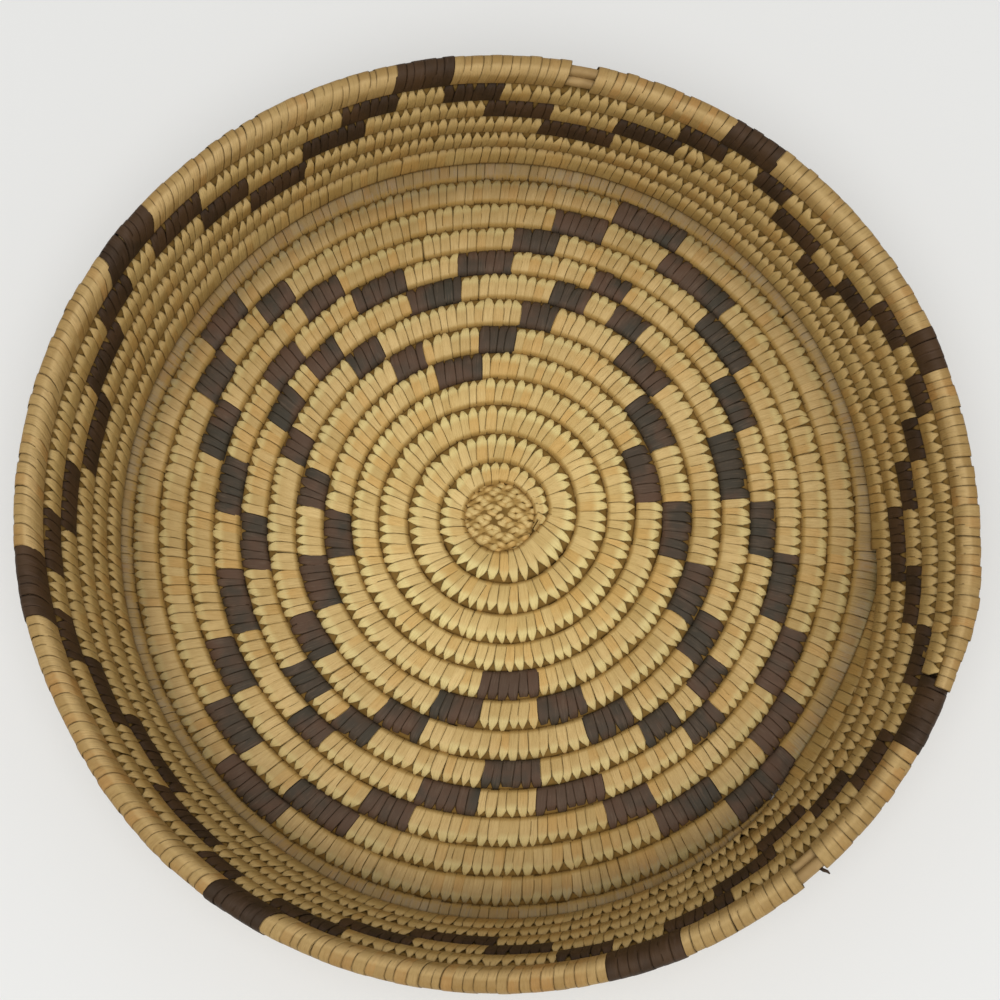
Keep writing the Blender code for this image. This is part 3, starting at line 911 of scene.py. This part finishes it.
def sew_the_wall(loop, light, dark):
    turns, widths = even_turns(wall_centre, FIRST_WALL_STITCH, RIM_START, WALL_STEP)
    scale = 1 - END_THINNER * wall_beginning(turns)
    begun, ended = (smooth_step((turns - turn) / over) for turn, over in (REACH_STARTS, REACH_STOPS))
    bite = REACH_MORE * begun * (1 - ended) + WALL_BITE
    wall = Row(turns, wall_path, wall_support, scale, WALL_THICKNESS, WALL_SLANT, bite, widths)
    black = is_dark(wall, WALL_BLOCKS, WALL_SEEN_FROM, -1)
    pinch = np.where(turns < CLIMB_TURNS, CLIMB_PINCH, WALL_PINCH)
    sew("wall_light_stitches", loop, wall.only(~black), light, "light_splint", ("wall_coil",),
        pinch=pinch[~black, None])
    sew("wall_dark_stitches", loop, wall.only(black), dark, "dark_splint", **DARK_SEWING)


def bands(start):
    """The rim's bands of one kind, by how their names start."""
    return [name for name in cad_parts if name.startswith(start)]


def sew_the_rim(loop, light, dark):
    turns, widths = even_turns(wall_centre, RIM_START, RIM_END, RIM_STEP)
    rim = Row(turns, wall_centre, wall_support, rim_scale(turns), RIM_THICKNESS, RIM_SLANT,
              WALL_BITE, widths, RIM_INWARDS)
    black = is_dark(rim, WALL_BLOCKS, WALL_SEEN_FROM, -1, WALL_ROWS)
    rim.thickness = np.where(black, DARK_RIM_THICKNESS, RIM_THICKNESS)
    angle = seen_angle(rim.middle, WALL_SEEN_FROM)
    kept = np.ones(len(turns), bool)
    for first, last in WORN_PLACES:
        kept &= (angle - first) % 360 >= last - first
    sew("rim_light_stitches", loop, rim.only(~black & kept), light, "light_splint",
        bands("rim_light_band"), **RIM_SEWING)
    sew("rim_dark_stitches", loop, rim.only(black & kept), dark, "dark_splint",
        bands("rim_dark_band"), **RIM_SEWING)
    return rim


def lay_the_cores(finish):
    """The bundles inside both coils, which show brown between the stitches."""
    turns = np.append(np.arange(BASE_FIRST, BASE_END - BASE_CORE_STOP, BASE_CORE_STEP),
                      BASE_END - np.array(BASE_CORE_LAST))
    wide = np.minimum(base_scale(turns), BASE_CORE_WIDEST)
    wide = wide * np.where(turns > BASE_END - 1, LAST_BASE_CORE, 1.0)
    tube("base_core", base_path(turns), wide, finish, section=BASE_CORE)
    turns = np.append(WALL_CORE_FIRST, np.arange(WALL_CORE_START, RIM_START, WALL_CORE_STEP))
    wide = 1 - END_THINNER * wall_beginning(turns)
    tube("wall_core", wall_path(turns), wide, finish, section=WALL_CORE)


def lay_the_rim_rods(finish):
    turns = np.linspace(RIM_START + ROD_SHORT, RIM_END - ROD_SHORT, ROD_POINTS)
    rim = Row(turns, wall_centre, wall_support, rim_scale(turns), RIM_THICKNESS, RIM_SLANT,
              WALL_BITE, RIM_STEP, RIM_INWARDS)
    for k, (up, inwards) in enumerate(ROD_PLACES):
        points = rim.own + (rim.rise * up + rim.face * inwards) * rim.scale[:, None]
        tube(f"rim_rod_{k + 1}_peeled", points, rim.scale, finish,
             (f"rim_rod_{k + 1}",), ROD)


def leave_the_stray_end(rim, finish):
    """A broken end of splint at one of the worn places."""
    k = np.argmin(np.abs(seen_angle(rim.middle, WALL_SEEN_FROM) - STRAY_END))
    points = [rim.own[k] + rim.face[k] * -out + rim.rise[k] * up + rim.along[k] * on
              for out, up, on in STRAY_PATH]
    tube("broken_splint_end", np.array(points), STRAY_RADII, finish)


def dress_the_tray():
    base_light = light_splint(
        "light_splint_base", pale=(0.86, 0.64, 0.27), deep=(0.60, 0.42, 0.145),
        golden=(0.72, 0.43, 0.12), dirt=(0.36, 0.21, 0.05), wear_and_painted_light=BASE_WEAR_AND_SHADE, threads=0.2)
    wall_light = light_splint(
        "light_splint_wall", pale=(0.61, 0.42, 0.15), deep=(0.43, 0.26, 0.07),
        golden=(0.58, 0.33, 0.09), dirt=(0.24, 0.14, 0.035), wear_and_painted_light=WALL_WEAR)
    rim_light = light_splint(
        "light_splint_rim", pale=(0.62, 0.42, 0.16), deep=(0.42, 0.25, 0.07),
        golden=(0.60, 0.30, 0.08), dirt=(0.24, 0.13, 0.035), wear_and_painted_light=WALL_WEAR)
    base_dark = dark_splint(
        "dark_splint_base", black=(0.050, 0.042, 0.028), brown=(0.105, 0.058, 0.034),
        wear_and_painted_light=(0.17, 0.12, 0.08))
    wall_dark = dark_splint(
        "dark_splint_wall", black=(0.036, 0.020, 0.009), brown=(0.066, 0.034, 0.014),
        wear_and_painted_light=(0.10, 0.06, 0.04))
    core = core_finish()

    knot_heart(core)
    knot_splints(base_light)
    loop = Loop()
    sew_the_base(loop, base_light, base_dark)
    sew_the_wall(loop, wall_light, wall_dark)
    rim = sew_the_rim(loop, rim_light, wall_dark)
    lay_the_cores(core)
    lay_the_rim_rods(rod_finish())
    leave_the_stray_end(rim, wall_dark)


def lay_the_floor():
    work = bmesh.new()
    bmesh.ops.create_grid(work, x_segments=2, y_segments=2, size=FLOOR_SIZE)
    mesh = bpy.data.meshes.new("floor")
    work.to_mesh(mesh)
    work.free()
    floor = bpy.data.objects.new("floor", mesh)
    scene.collection.objects.link(floor)
    look = Finish("pale_floor", Specular_IOR_Level=0.1)
    look.feed(look.shader.inputs["Base Color"], FLOOR_COLOUR)
    look.feed(look.shader.inputs["Roughness"], FLOOR_ROUGHNESS)
    mesh.materials.append(look.material)


def light_the_stage():
    """A soft room and one large lamp overhead."""
    scene.view_settings.view_transform = "Standard"
    world = bpy.data.worlds.new("soft_room")
    world.use_nodes = True
    sky = world.node_tree.nodes["Background"]
    sky.inputs["Color"].default_value = SKY_COLOUR
    sky.inputs["Strength"].default_value = SKY_STRENGTH
    scene.world = world
    lamp = bpy.data.lights.new("overhead", "AREA")
    lamp.shape = "DISK"
    lamp.size = LAMP_SIZE
    lamp.energy = LAMP_POWER
    overhead = bpy.data.objects.new("overhead", lamp)
    overhead.location = LAMP_PLACE
    overhead.rotation_euler = (-Vector(LAMP_PLACE)).to_track_quat("-Z", "Y").to_euler()
    scene.collection.objects.link(overhead)


take_the_view()
dress_the_tray()
lay_the_floor()
light_the_stage()
